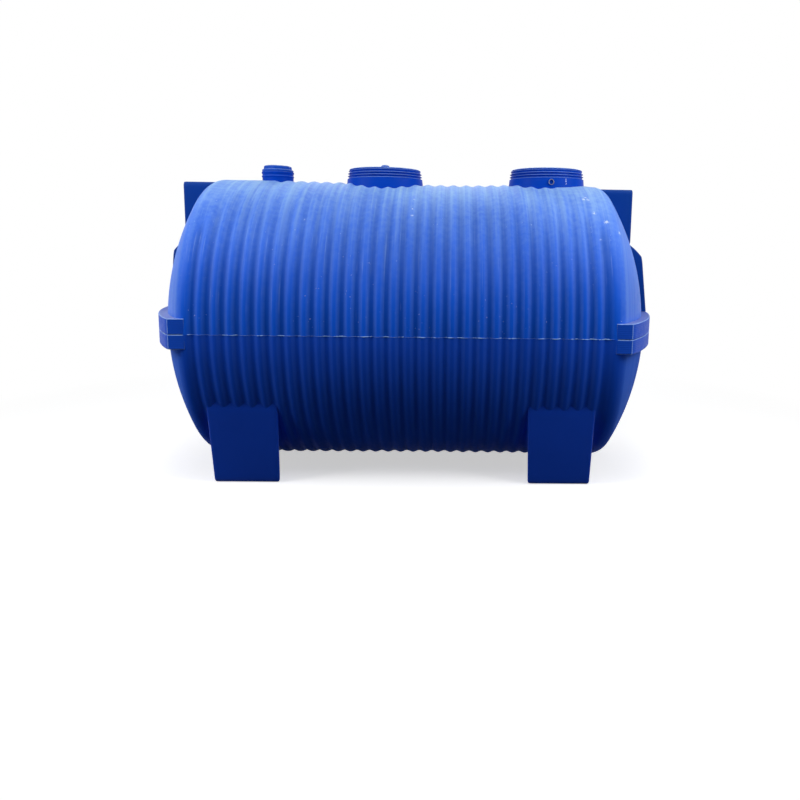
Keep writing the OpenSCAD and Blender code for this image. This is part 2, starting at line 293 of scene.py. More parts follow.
def half_shell(name, side):
    """Upper half for side 1, lower half for side -1."""
    t = np.linspace(-1, 1, 13)
    rib_x, depth, who = [], [], []
    start = RIB_MID - RIB_COUNT * RIB_PITCH / 2
    for i in range(RIB_COUNT):
        for s in t[:-1] if i < RIB_COUNT - 1 else t:
            rib_x.append(start + (i + 0.5 + s / 2) * RIB_PITCH)
            depth.append(rib_dip(s))
            who.append(i if s < 0 else i + 1)
    dish_out, dish_in = dish_stations(0), dish_stations(WALL)
    band_l = np.linspace(-BARREL_END, rib_x[0] - 0.008, 6)
    band_r = np.linspace(rib_x[-1] + 0.008, BARREL_END, 6)
    xs = np.concatenate([-dish_out[::-1], band_l, rib_x, band_r, dish_out])
    xin = np.concatenate([-dish_in[::-1], band_l, rib_x, band_r, dish_in])
    beyond = len(dish_out) + 6
    dep = np.concatenate([band_dip(xs[:beyond]), depth, band_dip(xs[-beyond:])])
    grv = np.concatenate([np.zeros(len(dish_out) + 6), who, np.full(len(dish_out) + 6, RIB_COUNT)]).astype(int)
    around = np.linspace(0, math.pi, 129)
    rise = np.minimum(around, math.pi - around)
    inner = np.linspace(math.pi, 0, 33)
    rise_in = np.minimum(inner, math.pi - inner)
    fades, fades_in = [[groove_fade(j, r, side) for j in range(RIB_COUNT + 1)] for r in (rise, rise_in)]
    rows = []
    for x, xi, d, j in zip(xs, xin, dep, grv):
        r_out = dish_radius(abs(x), 0.0) if abs(x) > BARREL_END else SHELL_R
        r_in = dish_radius(abs(xi), WALL) if abs(xi) > BARREL_END else SHELL_R - WALL
        out = LOW_DISH_OUT * float(ease(np.array(x), BARREL_END, BARREL_END + 0.05)) if side < 0 else 0.0
        row = []
        for k, a in enumerate(around):
            r = r_out - d * fades[j][k]
            if r_out > 0.03:
                wave = noise.noise(Vector((x * 3.1, math.cos(a) * 1.7, side * math.sin(a) * 1.7 + 5)))
                r -= 0.0012 * (1 + wave) * min(1, (r_out - 0.03) * 8)
            up = lift(x, rise[k]) if side > 0 else 0.0
            row.append((x + out, -r * math.cos(a), AXIS_Z + side * r * math.sin(a) + up))
        for k, a in enumerate(inner):
            r = r_in - d * fades_in[j][k]
            up = lift(xi, rise_in[k]) if side > 0 else 0.0
            row.append((xi + out, -r * math.cos(a), AXIS_Z + side * r * math.sin(a) + up))
        rows.append(row)
    return skin(name, rows, loop_rows=True, sharp=60)


def neck_middle(node):
    """Place along the tank and outer radius of a round node."""
    lo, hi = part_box(node)
    return (lo.x + hi.x) / 2, (hi.x - lo.x) / 2


def polyethylene(name, body_tone, dust_and_light_tone, on_top, on_ends=0.0, ends_low=-0.12,
                 run=(85, 1.3, 1.3), streak=0.5, specks=0.0, knocks=(), grooves=0.0, grain=0.16,
                 rough=0.42, gloss=0.06, worn_and_lit_edges=0.0):
    """Moulded polyethylene: a tone that drifts and darkens between the ribs as painted shade with some dirt,
    a dusty coat on what faces up and in streaks on the ends, which is painted light where it reaches low on
    the ends, pale scuffs, specks, knocks and worn edges also lightened as a painted highlight, and a faint
    orange-peel skin."""
    m = bpy.data.materials.new(name)
    m.use_nodes = True
    t = m.node_tree
    new, link = t.nodes.new, t.links.new
    body = t.nodes["Principled BSDF"]
    body.inputs["Specular IOR Level"].default_value = gloss
    place = new("ShaderNodeTexCoord")

    def drift(scale, stretch, detail, seed):
        turn = new("ShaderNodeMapping")
        turn.inputs["Scale"].default_value = stretch
        turn.inputs["Location"].default_value = (seed, seed * 0.7, -seed)
        n = new("ShaderNodeTexNoise")
        n.inputs["Scale"].default_value = scale
        n.inputs["Detail"].default_value = detail
        link(place.outputs["Object"], turn.inputs["Vector"])
        link(turn.outputs["Vector"], n.inputs["Vector"])
        return n.outputs["Fac"]

    def ramp(value, low, high, a=0.0, b=1.0):
        r = new("ShaderNodeMapRange")
        r.inputs["From Min"].default_value = low
        r.inputs["From Max"].default_value = high
        r.inputs["To Min"].default_value = a
        r.inputs["To Max"].default_value = b
        link(value, r.inputs["Value"])
        return r.outputs["Result"]

    def sum_of(how, a, b):
        x = new("ShaderNodeMath")
        x.operation = how
        x.use_clamp = how == "ADD"
        for k, v in enumerate((a, b)):
            if isinstance(v, float):
                x.inputs[k].default_value = v
            else:
                link(v, x.inputs[k])
        return x.outputs[0]

    def times(a, b):
        return sum_of("MULTIPLY", a, b)

    def plus(a, b):
        return sum_of("ADD", a, b)

    def mix(share, a, b):
        x = new("ShaderNodeMix")
        x.data_type = "RGBA"
        link(share, x.inputs[0])
        for k, v in ((6, a), (7, b)):
            if isinstance(v, tuple):
                x.inputs[k].default_value = (*v, 1)
            else:
                link(v, x.inputs[k])
        return x.outputs[2]

    facing = new("ShaderNodeNewGeometry")
    split = new("ShaderNodeSeparateXYZ")
    link(facing.outputs["Normal"], split.inputs[0])
    up = sum_of("POWER", ramp(split.outputs["Z"], 0.0, 1.0), 2.6)
    patches = ramp(drift(2.6, (1, 1, 1), 3, 1.3), 0.35, 0.7)
    tone = mix(times(patches, 0.5), body_tone, tuple(min(1, c * 1.35) for c in body_tone))
    streaks = ramp(drift(1.0, run, 4, 4.1), 0.42, 0.66)
    fine = ramp(drift(52, (1, 1, 1), 6, 7.7), 0.38, 0.66)
    uneven = plus(ramp(patches, 0, 1, 0.32, 0.56),
                  times(plus(times(streaks, 0.8), times(fine, 0.55)), 0.5 * streak))
    dust_and_light_film = times(up, times(uneven, 2.0 * on_top))
    # On the ends the coat is streaks of dust; where ends_low lets it reach down the lower dished ends it is
    # painted light that lightens them.
    if on_ends:
        ends = ramp(sum_of("ABSOLUTE", split.outputs["X"], 0.0), 0.25, 0.95)
        ends = times(ends, ramp(split.outputs["Z"], ends_low, ends_low + 0.17))
        dust_and_light_film = plus(dust_and_light_film, times(ends, times(uneven, 2.0 * on_ends)))
    off_axis = new("ShaderNodeVectorMath")
    off_axis.operation = "MULTIPLY_ADD"
    link(place.outputs["Object"], off_axis.inputs[0])
    off_axis.inputs[1].default_value = (0, 1, 1)
    off_axis.inputs[2].default_value = (0, 0, -AXIS_Z)
    from_axis = new("ShaderNodeVectorMath")
    from_axis.operation = "LENGTH"
    link(off_axis.outputs["Vector"], from_axis.inputs[0])
    # Painted shade with some dirt: the hollows between the ribs are darkened, and the pale coat thinned, where
    # shade falls in them; a little less towards the top.
    if grooves:
        along = new("ShaderNodeSeparateXYZ")
        link(place.outputs["Object"], along.inputs[0])
        low = ramp(from_axis.outputs["Value"], SHELL_R - 0.0025, SHELL_R - 0.0095)
        low = times(low, ramp(sum_of("ABSOLUTE", along.outputs["X"], 0.0),
                              BARREL_END + 0.01, BARREL_END - 0.015))
        low = times(low, ramp(split.outputs["Z"], 0.25, 0.85, 1.0, 0.85))
        tone = mix(times(low, grooves), tone, tuple(c * 0.35 for c in body_tone))
        dust_and_light_film = times(dust_and_light_film, ramp(low, 0, 1, 1.0, 0.55))
    tone = mix(dust_and_light_film, tone, dust_and_light_tone)
    if on_top > 0.5:
        dust = times(ramp(split.outputs["Z"], 0.80, 0.97), times(uneven, 0.55))
        tone = mix(dust, tone, (0.30, 0.36, 0.55))
    scuffs = times(ramp(drift(1.0, tuple(v * 1.75 for v in run), 6, 9.3), 0.60, 0.72),
                   ramp(split.outputs["Z"], -0.1, 0.6))
    scuffs = times(scuffs, ramp(drift(9, (1, 1, 1), 2, 3.3), 0.48, 0.66))
    tone = mix(times(scuffs, 0.35 * streak), tone, (0.42, 0.62, 0.90))
    if worn_and_lit_edges:                       # the rounded top edge and upright corners, rubbed pale, and lightened as a painted highlight
        across = sum_of("ABSOLUTE", split.outputs["Y"], 0.0)
        rim = times(ramp(split.outputs["Z"], 0.45, 0.65), ramp(split.outputs["Z"], 0.99, 0.93))
        corner = times(ramp(across, 0.68, 0.76), ramp(across, 0.94, 0.90))
        rubbed_and_lit = times(plus(rim, corner), ramp(fine, 0, 1, 0.4 * worn_and_lit_edges, worn_and_lit_edges))
        tone = mix(rubbed_and_lit, tone, (0.38, 0.60, 0.88))
    if specks:
        chips = ramp(drift(120, (1, 1, 1), 2, 2.2), 0.735, 0.76)
        chips = times(chips, ramp(drift(5, (1, 1, 1), 2, 6.1), 0.5, 0.62))
        tone = mix(times(chips, specks), tone, (0.66, 0.78, 0.95))
    for knock in knocks:
        near = new("ShaderNodeVectorMath")
        near.operation = "DISTANCE"
        link(place.outputs["Object"], near.inputs[0])
        near.inputs[1].default_value = knock[:3]
        spot = ramp(near.outputs["Value"], knock[3], knock[3] * 0.35)
        spot = times(spot, ramp(drift(170, (1, 1, 1), 2, knock[0] * 9), 0.46, 0.53))
        tone = mix(times(spot, 0.8), tone, (0.70, 0.80, 0.95))
    link(tone, body.inputs["Base Color"])
    link(plus(ramp(fine, 0, 1, rough - 0.05, rough + 0.08), times(dust_and_light_film, 0.30)), body.inputs["Roughness"])
    bump = new("ShaderNodeBump")
    bump.inputs["Strength"].default_value = grain
    bump.inputs["Distance"].default_value = 0.0012
    height = plus(times(drift(210, (1, 1, 1), 2, 0.4), 0.45), times(drift(24, (1, 1, 1), 3, 5.5), 0.55))
    link(height, bump.inputs["Height"])
    link(bump.outputs["Normal"], body.inputs["Normal"])
    return m


def finish(piece, material, slot, *stands_for):
    """Gives a piece its material and hides the nodes it stands for; the slot is not used."""
    piece.data.materials.clear()
    piece.data.materials.append(material)
    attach(piece, "root")
    if stands_for:
        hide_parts(*stands_for)
    return piece


# The upper half's hollows between the ribs are darkened as painted shade, with some dirt.
shell_blue = polyethylene("shell_blue", (0.0045, 0.094, 0.67), (0.38, 0.61, 0.82), 0.50, on_ends=0.17,
                          streak=0.8, grooves=0.52, specks=0.6, knocks=(
                              (0.696, -0.277, 1.116, 0.010), (0.713, -0.277, 1.116, 0.010),
                              (0.725, -0.357, 1.061, 0.011), (0.765, -0.393, 1.027, 0.012),
                              (0.795, -0.432, 1.006, 0.013), (0.736, -0.453, 0.964, 0.009),
                              (0.812, -0.412, 0.985, 0.010), (0.704, -0.262, 1.125, 0.008),
                              (0.027, -0.283, 1.104, 0.007), (0.025, -0.345, 1.066, 0.005),
                              (0.024, -0.376, 1.040, 0.007), (0.004, -0.480, 0.925, 0.006)))
upper_half = half_shell("upper_half", 1)
cutters = []
for node in ("middle_neck", "right_neck", "small_neck"):
    x, r = neck_middle(node)
    cutters.append(drum("cutter", r - 0.004, AXIS_Z + 0.2, AXIS_Z + 0.8, x=x))
for node in ("inlet_box", "outlet_box"):
    lo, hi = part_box(node)
    cutters.append(block("cutter", (lo.x + 0.02 if lo.x < 0 else lo.x - 0.05, lo.y + WALL, lo.z + WALL),
                         (hi.x + 0.05 if lo.x < 0 else hi.x - 0.02, hi.y - WALL, hi.z - WALL)))
carve(upper_half, cutters, sharp=60)
finish(upper_half, shell_blue, "shell_blue", "upper_barrel", "left_upper_end", "right_upper_end")
lower_half = half_shell("lower_half", -1)
# The lower half's end coat reaches far down its dished ends as painted light, with streaks of dust.
shell_under = polyethylene("shell_under", (0.0075, 0.067, 0.54), (0.25, 0.50, 0.82), 0.3, on_ends=0.14,
                           ends_low=-0.80, streak=0.4, grooves=0.0, rough=0.60, gloss=0.015)
finish(lower_half, shell_under, "shell_blue", "lower_barrel", "left_lower_end", "right_lower_end")

# --- Seam belts -----------------------------------------------------------
# A hollow ledge moulded on each half wraps round both ends and carries the
# weld. It is blue polyethylene with fine level lines from the mould on its
# edge, and dust lies on its top.
# The ledge's rounded top edge and upright corners are painted pale, partly as wear and partly as a painted
# highlight.
belt_blue = polyethylene("belt_blue", (0.007, 0.070, 0.53), (0.50, 0.55, 0.60), 0.32, on_ends=0.03,
                         run=(3.0, 3.0, 120), streak=0.6, grain=0.12, rough=0.46, worn_and_lit_edges=0.8)


def belt_half(name, node, end, side):
    """The ledge of one half at one end: a level path round the dish, with the ledge's section along it."""
    lo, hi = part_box(node)
    height = hi.z - lo.z
    reach = max(abs(lo.x), abs(hi.x)) - CROWN_X
    half = hi.y
    corner = math.asin(half / reach)
    bend = 0.007
    flat = CROWN_X + reach * math.cos(corner) - bend
    start = BARREL_END + 0.006           # the front face grows out of the shell without a step
    path = [(start + (flat - start) * s, -half + 0.0045 * (1 - s) ** 2, 0, -1) for s in np.linspace(0, 1, 9)]
    cx, cy = path[-1][0], -half + bend
    for a in np.linspace(-math.pi / 2, -corner, 6)[1:]:
        path.append((cx + bend * math.cos(a), cy + bend * math.sin(a), math.cos(a), math.sin(a)))
    for a in np.linspace(-corner + 0.012, corner - 0.012, 65):
        path.append((CROWN_X + reach * math.cos(a), reach * math.sin(a), math.cos(a), math.sin(a)))
    path += [(x, -y, nx, -ny) for x, y, nx, ny in reversed(path[:14])]
    edge = 0.0035
    lines = [(0.0025, 0.0003), (0.0008, 0.0014), (0.0, 0.0035)]
    z = 0.0075
    while z < height - edge - 0.003:
        lines += [(0.0, z), (0.0004, z + 0.0012), (0.0, z + 0.0024)]
        z += 0.0068
    for a in np.linspace(0, math.pi / 2, 5):
        lines.append((edge * (1 - math.cos(a)), height - edge + edge * math.sin(a)))
    rows = []
    for x, y, nx, ny in path:
        ux, uy = x - CROWN_X, y
        far = math.hypot(ux, uy)
        keep = min(CROWN_R - 0.012, far - 0.02) / far
        row = [(end * (CROWN_X + ux * keep), uy * keep, AXIS_Z + side * 0.0003)]
        row += [(end * (x - nx * d), y - ny * d, AXIS_Z + side * h) for d, h in lines]
        tx, ty = x - nx * edge, y - ny * edge
        for s in (0.2, 0.4, 0.6, 0.8, 1.0):
            px, py = tx + (CROWN_X + ux * keep - tx) * s, ty + (uy * keep - ty) * s
            row.append((end * px, py, AXIS_Z + side * (height - 0.0015 * math.sin(math.pi * min(1, s * 1.2)))))
        rows.append(row)
    return finish(skin(name, rows, loop_rows=True, close_ends=True, sharp=50), belt_blue, "belt_blue", node)


for end, word in ((-1, "left"), (1, "right")):
    for side, half_name in ((1, "upper"), (-1, "lower")):
        belt_half(f"{word}_{half_name}_ledge", f"{word}_{half_name}_belt", end, side)

# --- Feet -----------------------------------------------------------------
# Four hollow blocks moulded on the lower half, each leaning in towards the
# ground, with the inner side drawn in and the corners rounded. The ribs run
# into their tops.
foot_blue = polyethylene("foot_blue", (0.0065, 0.057, 0.50), (0.25, 0.46, 0.80), 0.3, run=(3, 3, 60),
                         streak=0.2, grain=0.10, rough=0.40)
FOOT_TAPER, FOOT_LEAN, FOOT_DRAFT, SOLE_R = 0.014, 0.065, 0.048, 0.013


def foot_block(name, node):
    """A foot as a stack of level outlines, cut to the barrel."""
    lo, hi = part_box(node)
    end = 1 if hi.x > 0 else -1
    face = 1 if hi.y > 0 else -1
    x0, x1 = min(abs(lo.x), abs(hi.x)), max(abs(lo.x), abs(hi.x))
    y1, y0 = max(abs(lo.y), abs(hi.y)), min(abs(lo.y), abs(hi.y))
    x1 += 0.008 if end < 0 else 0.0      # the feet at the inlet are a little wider
    top = AXIS_Z - math.sqrt(SHELL_R ** 2 - y1 ** 2)
    rows = []
    levels = [0.0, 0.0008, 0.0025, 0.005, 0.009, SOLE_R] + list(np.linspace(0.024, top, 14)) + [AXIS_Z - 0.12]
    for z in levels:
        share = min(1, z / top)
        tuck = SOLE_R - math.sqrt(SOLE_R ** 2 - (SOLE_R - z) ** 2) if z < SOLE_R else 0.0
        front = y1 - FOOT_LEAN * (1 - share) - tuck
        back = y0 + tuck
        draw = FOOT_TAPER * (1 - share) + tuck
        full = FOOT_DRAFT / (y1 - y0)
        corners = [(x0 + draw, front, 0.012), (x1 - tuck, front, 0.012),
                   (x1 - tuck - full * (front - back), back, 0.016),
                   (x0 + draw + full * (front - back), back, 0.016)]
        row = []
        for k in range(4):
            (ax, ay, _), (bx, by, r), (cx, cy, _) = corners[k - 1], corners[k], corners[(k + 1) % 4]
            p, q = Vector((ax - bx, ay - by)).normalized(), Vector((cx - bx, cy - by)).normalized()
            r = max(r - tuck, 0.003)
            reach = r / math.tan(p.angle(q) / 2)
            a, b = Vector((bx, by)) + p * reach, Vector((bx, by)) + q * reach
            for s in np.linspace(0, 1, 7):
                u = a.lerp(Vector((bx, by)), s).lerp(Vector((bx, by)).lerp(b, s), s)
                row.append((end * u.x, face * u.y, z))
        rows.append(row)
    piece = skin(name, rows, loop_rows=True, close_ends=True)
    near, far = sorted((end * (x0 - 0.1), end * (x1 + 0.1)))
    carve(piece, [drum("cutter", SHELL_R - RIB_DEPTH - 0.001, near, far, y=AXIS_Z, n=128, axis="x")])
    return finish(piece, foot_blue, "foot_blue", node)


for row in ("front", "rear"):
    for word in ("left", "right"):
        foot_block(f"{row}_{word}_block", f"{row}_{word}_foot")

# --- Inlet and outlet boxes -----------------------------------------------
# A square hollow box stands out at the top of each end to give the pipe a
# flat face. It is part of the upper half's moulding, with rounded edges, and
# its end face has a round hole for the pipe's rubber seal. An upright rib
# runs from under each box down to the belt.
# The boxes and upright ribs get a much darker copy of the shell's blue: painted shade, as they sit behind the
# dished ends.
box_shaded_blue = polyethylene("box_shaded_blue", (0.0030, 0.036, 0.235), (0.36, 0.62, 0.86), 0.30, on_ends=0.06,
                        run=(3, 3, 60), streak=0.3, grain=0.10, rough=0.42, gloss=0.03)


def dish_plug(name, end):
    """A closed cutter the shape of a dished end, a little inside its skin."""
    inset = 0.004
    stations = [BARREL_END - 0.05, BARREL_END] + dish_stations(inset).tolist()
    rows = []
    for x in stations:
        r = SHELL_R - inset if x <= BARREL_END else float(dish_radius(np.array(x), inset))
        rows.append([(end * x, r * math.cos(2 * math.pi * k / 96), AXIS_Z + r * math.sin(2 * math.pi * k / 96))
                     for k in range(96)])
    b = skin(name, rows, loop_rows=True)
    mesh = bmesh.new()
    mesh.from_mesh(b.data)
    bmesh.ops.holes_fill(mesh, edges=[e for e in mesh.edges if e.is_boundary])
    bmesh.ops.recalc_face_normals(mesh, faces=mesh.faces)
    mesh.to_mesh(b.data)
    mesh.free()
    return b


def pipe_box(name, node, seal):
    """A hollow square box with a round hole in its end face, cut to the dished end."""
    lo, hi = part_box(node)
    end = 1 if hi.x > 0 else -1
    reach = max(abs(lo.x), abs(hi.x))
    root = BARREL_END - 0.004
    slo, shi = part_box(seal)
    hole_z, hole_r = (slo.z + shi.z) / 2, (shi.z - slo.z) / 2 - 0.008
    roof = hi.z + (0.008 if end < 0 else 0.004)     # it rises with the upper half's ends
    mid_z = (lo.z + roof) / 2
    n = 96

    def frame_ring(x, inset, round_r):
        hy, hz = hi.y - inset, (roof - lo.z) / 2 - inset
        ring = []
        for k in range(n):
            a = 2 * math.pi * (k + 0.5) / n
            c, s = math.cos(a), math.sin(a)
            far = min(hy / max(abs(c), 1e-9), hz / max(abs(s), 1e-9))
            y, z = far * c, far * s
            kx, kz = hy - round_r, hz - round_r
            if abs(y) > kx and abs(z) > kz:
                d = Vector((abs(y) - kx, abs(z) - kz)).normalized() * round_r
                y, z = math.copysign(kx + d.x, y), math.copysign(kz + d.y, z)
            ring.append((end * x, y, mid_z + z))
        return ring

    def hole_ring(x, r):
        angles = [2 * math.pi * (k + 0.5) / n for k in range(n)]
        return [(end * x, r * math.cos(a), hole_z + r * math.sin(a)) for a in angles]

    rows = [frame_ring(root, 0, 0.010)]
    rows += [frame_ring(x, 0, 0.010) for x in np.linspace(root + 0.03, reach - 0.008, 5)]
    for a in np.linspace(0, math.pi / 2, 5)[1:]:
        rows.append(frame_ring(reach - 0.007 + 0.007 * math.sin(a), 0.007 * (1 - math.cos(a)), 0.010))
    outer, inner = frame_ring(reach, 0.012, 0.010), hole_ring(reach, hole_r)
    for s in (0, 0.5, 1):
        rows.append([tuple(Vector(p).lerp(Vector(q), s)) for p, q in zip(outer, inner)])
    rows += [hole_ring(reach - WALL, hole_r), frame_ring(reach - WALL, WALL, 0.004),
             frame_ring(root, WALL, 0.004)]
    piece = skin(name, rows + [rows[0]], loop_rows=True)
    carve(piece, [dish_plug("cutter", end)])
    return finish(piece, box_shaded_blue, "belt_blue", node)


for word in ("inlet", "outlet"):
    pipe_box(f"{word}_housing", f"{word}_box", f"{word}_seal")


def end_rib(name, node):
    """The upright hollow rib that carries the box down to the belt along the dished end."""
    lo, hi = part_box(node)
    end = 1 if hi.x > 0 else -1
    head_x = max(abs(lo.x), abs(hi.x)) - 0.020
    foot_x = head_x + (0.020 if end < 0 else 0.028)
    box_x = max(abs(p.x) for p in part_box("inlet_box" if end < 0 else "outlet_box"))
    slope, half, r = 0.050, hi.y, 0.008
    root = CROWN_X + CROWN_R - 0.13
    rows = []
    for s in list(np.linspace(0, 1, 14)) + list(np.linspace(1, 2, 10)[1:]) + [2.08]:
        if s <= 1:
            z, face = lo.z + (hi.z - slope - lo.z) * s, foot_x + (head_x - foot_x) * s
            face -= 0.002 * float(ease(np.array(s), 0.9, 1.0))
        else:
            z = hi.z - slope + slope * (s - 1)
            up = s - 1
            face = head_x - 0.002 - (head_x - 0.002 - box_x) * (0.7 * up + 0.3 * up ** 2) - 0.0005 * up
        row = [(end * root, -half, z)]
        for a in np.linspace(0, math.pi / 2, 5):
            row.append((end * (face - r + r * math.sin(a)), -half + r * (1 - math.cos(a)), z))
        for y in np.linspace(-half + 3 * r, half - 3 * r, 5):
            row.append((end * face, y, z))
        for a in np.linspace(math.pi / 2, 0, 5):
            row.append((end * (face - r + r * math.sin(a)), half - r * (1 - math.cos(a)), z))
        row.append((end * root, half, z))
        rows.append(row)
    piece = skin(name, rows, loop_rows=True, close_ends=True)
    carve(piece, [dish_plug("cutter", end)])
    return finish(piece, box_shaded_blue, "belt_blue", node)


for word in ("left", "right"):
    end_rib(f"{word}_upright_rib", f"{word}_end_rib")

# --- Pipe seals -----------------------------------------------------------
# A black rubber ring sits in the hole of each box, with a lip on both sides
# of the wall, and grips a 110 mm drain pipe.
seal_rubber = bpy.data.materials.new("seal_rubber")
seal_rubber.use_nodes = True
rt = seal_rubber.node_tree
rubber_place = rt.nodes.new("ShaderNodeTexCoord")
rubber_grain = rt.nodes.new("ShaderNodeTexNoise")
rubber_grain.inputs["Scale"].default_value = 90
rubber_grain.inputs["Detail"].default_value = 4
rubber_tone = rt.nodes.new("ShaderNodeValToRGB")
rubber_tone.color_ramp.elements[0].color = (0.009, 0.009, 0.010, 1)
rubber_tone.color_ramp.elements[1].color = (0.045, 0.045, 0.050, 1)
rubber_bump = rt.nodes.new("ShaderNodeBump")
rubber_bump.inputs["Strength"].default_value = 0.15
rubber_bump.inputs["Distance"].default_value = 0.0006
rt.links.new(rubber_place.outputs["Object"], rubber_grain.inputs["Vector"])
rt.links.new(rubber_grain.outputs["Fac"], rubber_tone.inputs["Fac"])
rt.links.new(rubber_grain.outputs["Fac"], rubber_bump.inputs["Height"])
rt.links.new(rubber_tone.outputs["Color"], rt.nodes["Principled BSDF"].inputs["Base Color"])
rt.links.new(rubber_bump.outputs["Normal"], rt.nodes["Principled BSDF"].inputs["Normal"])
rt.nodes["Principled BSDF"].inputs["Roughness"].default_value = 0.62


def lathe(name, outline, n=96, x=0.0, y=0.0, z=0.0, axis="z", closed=False, sharp=38, flip=1):
    """Turns an outline of (radius, height) round an upright or level axis."""
    rows = []
    for r, h in list(outline) + ([outline[0]] if closed else []):
        ring = []
        for k in range(n):
            a = 2 * math.pi * k / n
            u, v = r * math.cos(a), r * math.sin(a)
            ring.append((x + u, y + v, z + h) if axis == "z" else
                        (x + flip * h, y + u, z + v) if axis == "x" else (x + u, y - h, z + v))
        rows.append(ring)
    return skin(name, rows, loop_rows=True, sharp=sharp)


def arc(cr, ch, r, a0, a1, n=5):
    """Points of an arc, as (radius, height), from one angle to another in degrees."""
    return [(cr + r * math.cos(math.radians(a)), ch + r * math.sin(math.radians(a)))
            for a in np.linspace(a0, a1, n)]


for word in ("inlet", "outlet"):
    lo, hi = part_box(f"{word}_seal")
    end = 1 if hi.x > 0 else -1
    outer_r, bore_r = hi.y, 0.055
    face = min(abs(lo.x), abs(hi.x)) + 0.006
    lip = 0.012 if end < 0 else 0.006       # the inlet's lip stands out further
    outline = ([(bore_r, -0.006)] + arc(outer_r - 0.002, -0.004, 0.002, -90, 0) + [(outer_r, -0.0002)]
               + [(outer_r - 0.008, 0.0), (outer_r - 0.008, WALL), (outer_r, WALL + 0.0002)]
               + arc(outer_r - 0.003, WALL + 0.003, 0.003, 0, 90) + [(bore_r + 0.004, WALL + lip)]
               + arc(bore_r + 0.002, WALL + lip - 0.002, 0.002, 90, 180)
               + [(bore_r, 0.004), (bore_r + 0.0012, 0.002), (bore_r, 0.0)])
    ring = lathe(f"{word}_ring", outline, x=end * face, z=(lo.z + hi.z) / 2, axis="x", closed=True, flip=end)
    finish(ring, seal_rubber, "seal_rubber", f"{word}_seal")

# --- Manhole necks --------------------------------------------------------
# Two necks with a 290 mm way, moulded on the upper half: a plain wall that
# rises out of the ribs, and a coarse thread that winds up to the rounded rim.
# The right one has an upright mould line and a short metal breather in front.
neck_blue = polyethylene("neck_blue", (0.0018, 0.048, 0.41), (0.34, 0.52, 0.80), 0.42,
                         run=(3, 3, 60), streak=0.3, grain=0.10, rough=0.36, gloss=0.03,
                         knocks=[(0.645, -0.149, z, 0.0042) for z in (1.186, 1.191, 1.196, 1.201, 1.206)])
THREAD_TURNS, THREAD_PITCH, THREAD_DEPTH = 3.5, 0.011, 0.006
TOP_Z = AXIS_Z + SHELL_R


def thread_cut(share):
    """Depth of the thread at a share of its pitch: a wide valley and a rounded ridge."""
    d = abs(share - 0.5) * 2
    return 1 - ease(np.array(d), 0.42, 0.98)


def manhole(name, node, start_angle, breather=None, mould_line=None):
    """A round neck whose thread starts at an angle, drawn in a little towards the rim."""
    x, r = neck_middle(node)
    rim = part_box(node)[1].z
    bore, crest = r - 0.014, r - 0.0006
    low = rim - THREAD_TURNS * THREAD_PITCH

    def draw_in(z):
        """How far the wall has come in at a height; it stands out a little at the foot."""
        return 0.0065 * (z - TOP_Z) / (rim - TOP_Z) - 0.0030

    around = [2 * math.pi * k / 180 for k in range(180)]
    rows = [[(x + bore * math.cos(a), bore * math.sin(a), rim - 0.03) for a in around],
            [(x + bore * math.cos(a), bore * math.sin(a), rim - 0.0015) for a in around],
            [(x + (bore + 0.0015) * math.cos(a), (bore + 0.0015) * math.sin(a), rim) for a in around]]
    for z in np.linspace(rim, low - 0.001, 72):
        ring = []
        for a in around:
            wind = ((a - start_angle) / (2 * math.pi)) % 1.0
            turn = (z - low) / THREAD_PITCH - wind * 0.5
            cut = THREAD_DEPTH * float(thread_cut(turn % 1.0)) if turn > 0 else 0.0
            shoulder = min(1.0, max(0.0, z - (rim - 0.007)) / 0.007)
            cut = cut * (1 - shoulder) + THREAD_DEPTH * (0.35 + 0.65 * shoulder) * shoulder + draw_in(z)
            ring.append((x + (crest - cut) * math.cos(a), (crest - cut) * math.sin(a), z))
        rows.append(ring)
    for s in (0.2, 0.4, 0.6, 0.8, 1.0, 1.2):
        ring = []
        for a in around:
            base = AXIS_Z + math.sqrt((SHELL_R - RIB_DEPTH) ** 2 - (r * math.sin(a)) ** 2) - 0.002
            z = (low - 0.001) + (base - low + 0.001) * s
            line = 0.0 if mould_line is None else 0.0006 * math.exp(-((a - mould_line) / 0.012) ** 2)
            line -= draw_in(max(z, TOP_Z - 0.02))
            ring.append((x + (crest + line) * math.cos(a), (crest + line) * math.sin(a), z))
        rows.append(ring)
    piece = skin(name, rows, loop_rows=True, sharp=50)
    if breather:
        lo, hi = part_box(breather)
        carve(piece, [drum("cutter", (hi.z - lo.z) / 2 - 0.0005, -0.5, 0.0, x=(lo.x + hi.x) / 2,
                           y=(lo.z + hi.z) / 2, n=40, axis="y")], sharp=50)
    return finish(piece, neck_blue, "neck_blue", node)


manhole("middle_manhole", "middle_neck", 1.57)
manhole("right_manhole", "right_neck", 1.2, "breather", 5.12)

